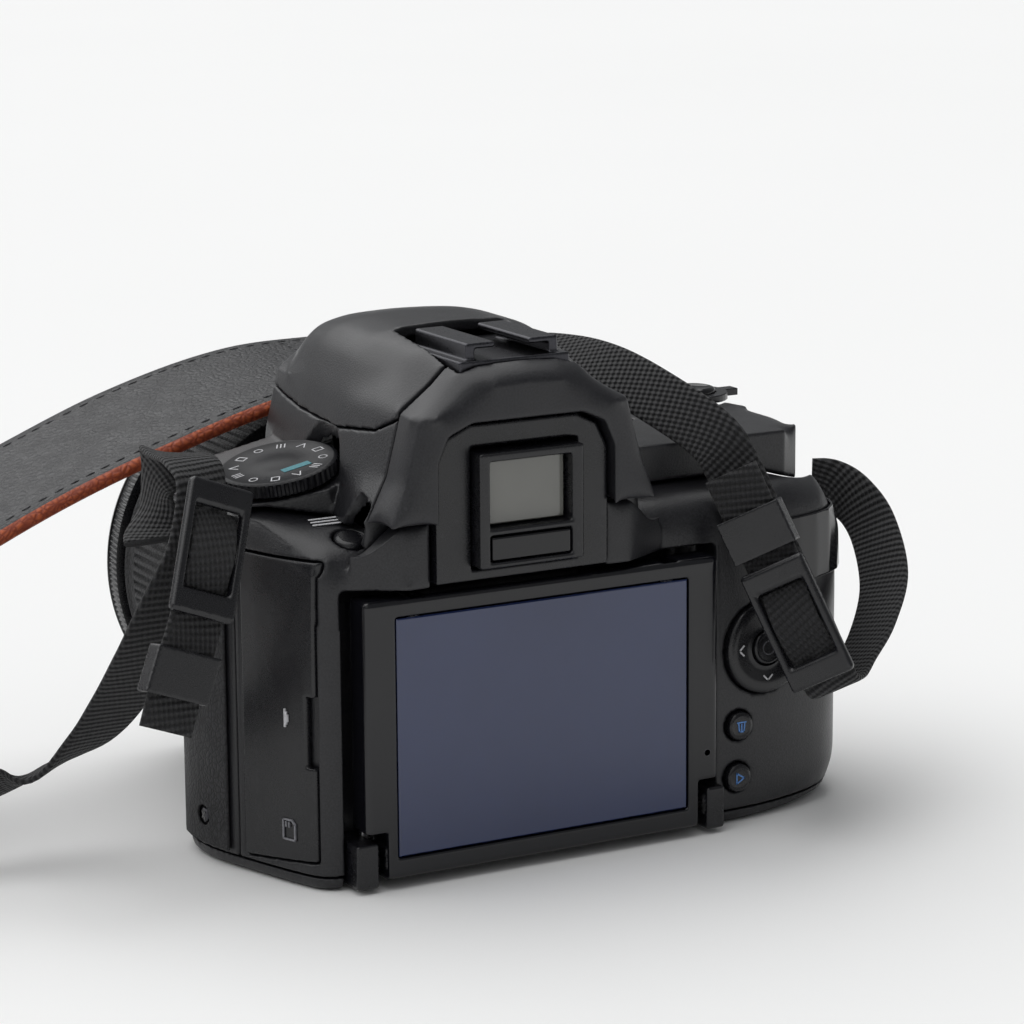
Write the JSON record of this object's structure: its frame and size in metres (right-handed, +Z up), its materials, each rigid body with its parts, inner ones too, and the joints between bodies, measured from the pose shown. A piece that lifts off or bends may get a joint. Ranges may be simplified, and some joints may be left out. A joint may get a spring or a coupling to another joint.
{
  "type": "digital reflex camera",
  "caption": "Compact digital reflex camera with tilting rear screen, short zoom lens, pop-up flash, mode dial and woven neck strap.",
  "frame": {"origin": "middle of the camera's footprint at the base, strap left out", "axes": "+Z up, +Y out through the lens, +X towards the hand grip"},
  "size_m": [0.4029, 0.1276, 0.097],
  "materials": {
    "body_plastic": "fine sand-textured satin black",
    "glass": "coated, blue grey",
    "gloss_plastic": "polished black",
    "grip_rubber": "grained soft black rubber",
    "satin_plastic": "smooth satin black",
    "steel": "satin",
    "strap_fabric": "woven polyester webbing",
    "strap_leather": "stitched black leatherette with orange edges"
  },
  "bodies": {
    "body": {"base_plate": "body_plastic", "battery_cell": "satin_plastic", "eye_sensor": "gloss_plastic", "eyepiece_frame": "satin_plastic", "eyepiece_hood": "grip_rubber", "eyepiece_surround": "satin_plastic", "eyepiece_window": "glass", "front_cover": "body_plastic", "grip_skin": "grip_rubber", "hinge_ear_left": "satin_plastic", "hinge_ear_right": "satin_plastic", "hot_shoe": "satin_plastic", "image_sensor": "glass", "keeper_left": "satin_plastic", "keeper_right": "satin_plastic", "lens_barrel": "satin_plastic", "lens_mount": "steel", "lug_left": "steel", "lug_right": "steel", "memory_card": "satin_plastic", "mirror_box": "satin_plastic", "neck_band": "strap_leather", "pentamirror": "glass", "rear_cover": "body_plastic", "shutter_unit": "steel", "side_skin": "grip_rubber", "slider_left": "satin_plastic", "slider_right": "satin_plastic", "strap_tail_left": "strap_fabric", "strap_tail_right": "strap_fabric", "strap_webbing_left": "strap_fabric", "strap_webbing_right": "strap_fabric", "thumb_pad": "satin_plastic", "top_cover": "body_plastic", "tripod_socket": "steel"},
    "screen_bracket": {"lcd_bracket": "steel"},
    "screen_panel": {"lcd_housing": "gloss_plastic", "lcd_window": "glass"},
    "mode_dial": {"mode_dial": "satin_plastic"},
    "control_pad": {"control_pad": "satin_plastic"},
    "enter_button": {"enter_button": "satin_plastic"},
    "delete_button": {"delete_button": "satin_plastic"},
    "playback_button": {"playback_button": "satin_plastic"},
    "menu_button": {"menu_button": "satin_plastic"},
    "drive_button": {"drive_button": "satin_plastic"},
    "shutter_button": {"shutter_button": "satin_plastic"},
    "live_view_switch": {"live_view_switch": "satin_plastic"},
    "power_lever": {"power_lever": "satin_plastic"},
    "grip_dial": {"grip_dial": "satin_plastic"},
    "lens_release": {"lens_release": "satin_plastic"},
    "flash": {"flash_cover": "body_plastic", "flash_tube": "glass"},
    "card_door": {"card_door": "satin_plastic"},
    "battery_door": {"battery_door": "body_plastic"},
    "zoom_ring": {"zoom_ring": "grip_rubber"},
    "zoom_tube": {"inner_barrel": "satin_plastic", "front_element": "glass"},
    "focus_ring": {"focus_ring": "gloss_plastic"},
    "mirror": {"reflex_mirror": "steel"},
    "focus_mode_switch": {"focus_mode_switch": "satin_plastic"}
  },
  "joints": [
    {"name": "bracket_tilt", "type": "hinge", "parent": "body", "child": "screen_bracket", "pos_m": [-0.0114, -0.0468, 0.0052], "axis": [1, 0, 0], "range_deg": [0, 55]},
    {"name": "screen_tilt", "type": "hinge", "parent": "screen_bracket", "child": "screen_panel", "pos_m": [-0.0114, -0.0485, 0.0506], "axis": [-1, 0, 0], "range_deg": [0, 90]},
    {"name": "mode_dial_turn", "type": "hinge", "parent": "body", "child": "mode_dial", "pos_m": [-0.0502, -0.0221, 0.0734], "axis": [-0.1983, -0.082, 0.9767], "continuous": true},
    {"name": "control_pad_press", "type": "slide", "parent": "body", "child": "control_pad", "axis": [0, 1, 0], "range_m": [0, 0.0005], "stiffness_N_per_m": 400},
    {"name": "enter_press", "type": "slide", "parent": "body", "child": "enter_button", "axis": [0, 1, 0], "range_m": [0, 0.0006], "stiffness_N_per_m": 400},
    {"name": "delete_press", "type": "slide", "parent": "body", "child": "delete_button", "axis": [0, 1, 0], "range_m": [0, 0.0006], "stiffness_N_per_m": 400},
    {"name": "playback_press", "type": "slide", "parent": "body", "child": "playback_button", "axis": [0, 1, 0], "range_m": [0, 0.0006], "stiffness_N_per_m": 400},
    {"name": "menu_press", "type": "slide", "parent": "body", "child": "menu_button", "axis": [0, 0.3387, -0.9409], "range_m": [0, 0.0006], "stiffness_N_per_m": 400},
    {"name": "drive_press", "type": "slide", "parent": "body", "child": "drive_button", "axis": [0, 0, -1], "range_m": [0, 0.0006], "stiffness_N_per_m": 400},
    {"name": "shutter_press", "type": "slide", "parent": "body", "child": "shutter_button", "axis": [0, 0, -1], "range_m": [0, 0.0009], "stiffness_N_per_m": 400},
    {"name": "live_view_slide", "type": "slide", "parent": "body", "child": "live_view_switch", "axis": [1, 0, 0], "range_m": [0, 0.0035]},
    {"name": "power_turn", "type": "hinge", "parent": "body", "child": "power_lever", "pos_m": [0.0498, -0.0008, 0.0727], "axis": [0, 0, 1], "range_deg": [0, 35]},
    {"name": "grip_dial_turn", "type": "hinge", "parent": "body", "child": "grip_dial", "pos_m": [0.0403, 0.0097, 0.058], "axis": [1, 0, 0], "continuous": true},
    {"name": "lens_release_press", "type": "slide", "parent": "body", "child": "lens_release", "axis": [0, -1, 0], "range_m": [0, 0.002], "stiffness_N_per_m": 400},
    {"name": "flash_lift", "type": "hinge", "parent": "body", "child": "flash", "pos_m": [-0.0172, -0.044, 0.0934], "axis": [1, 0, 0], "range_deg": [0, 45]},
    {"name": "card_door_open", "type": "hinge", "parent": "body", "child": "card_door", "pos_m": [-0.0604, -0.0289, 0.031], "axis": [0, 0, -1], "range_deg": [0, 95]},
    {"name": "battery_door_open", "type": "hinge", "parent": "body", "child": "battery_door", "pos_m": [0.0322, -0.0191, 0.001], "axis": [0, 1, 0], "range_deg": [0, 90]},
    {"name": "zoom_turn", "type": "hinge", "parent": "body", "child": "zoom_ring", "pos_m": [-0.0172, 0.0362, 0.0388], "axis": [0, 1, 0], "range_deg": [0, 60]},
    {"name": "zoom_travel", "type": "slide", "parent": "body", "child": "zoom_tube", "axis": [0, 1, 0], "range_m": [0, 0.022]},
    {"name": "focus_turn", "type": "hinge", "parent": "zoom_tube", "child": "focus_ring", "pos_m": [-0.0172, 0.0532, 0.0388], "axis": [0, 1, 0], "range_deg": [0, 90]},
    {"name": "mirror_lift", "type": "hinge", "parent": "body", "child": "mirror", "pos_m": [-0.0172, -0.0284, 0.0556], "axis": [1, 0, 0], "range_deg": [0, 45], "stiffness_Nm_per_rad": 0.01},
    {"name": "focus_mode_slide", "type": "slide", "parent": "body", "child": "focus_mode_switch", "axis": [0, 0, -1], "range_m": [0, 0.0022]}
  ],
  "couplings": [
    {"joint": "zoom_travel", "follows": "zoom_turn", "m_per_rad": 0.021}
  ]
}
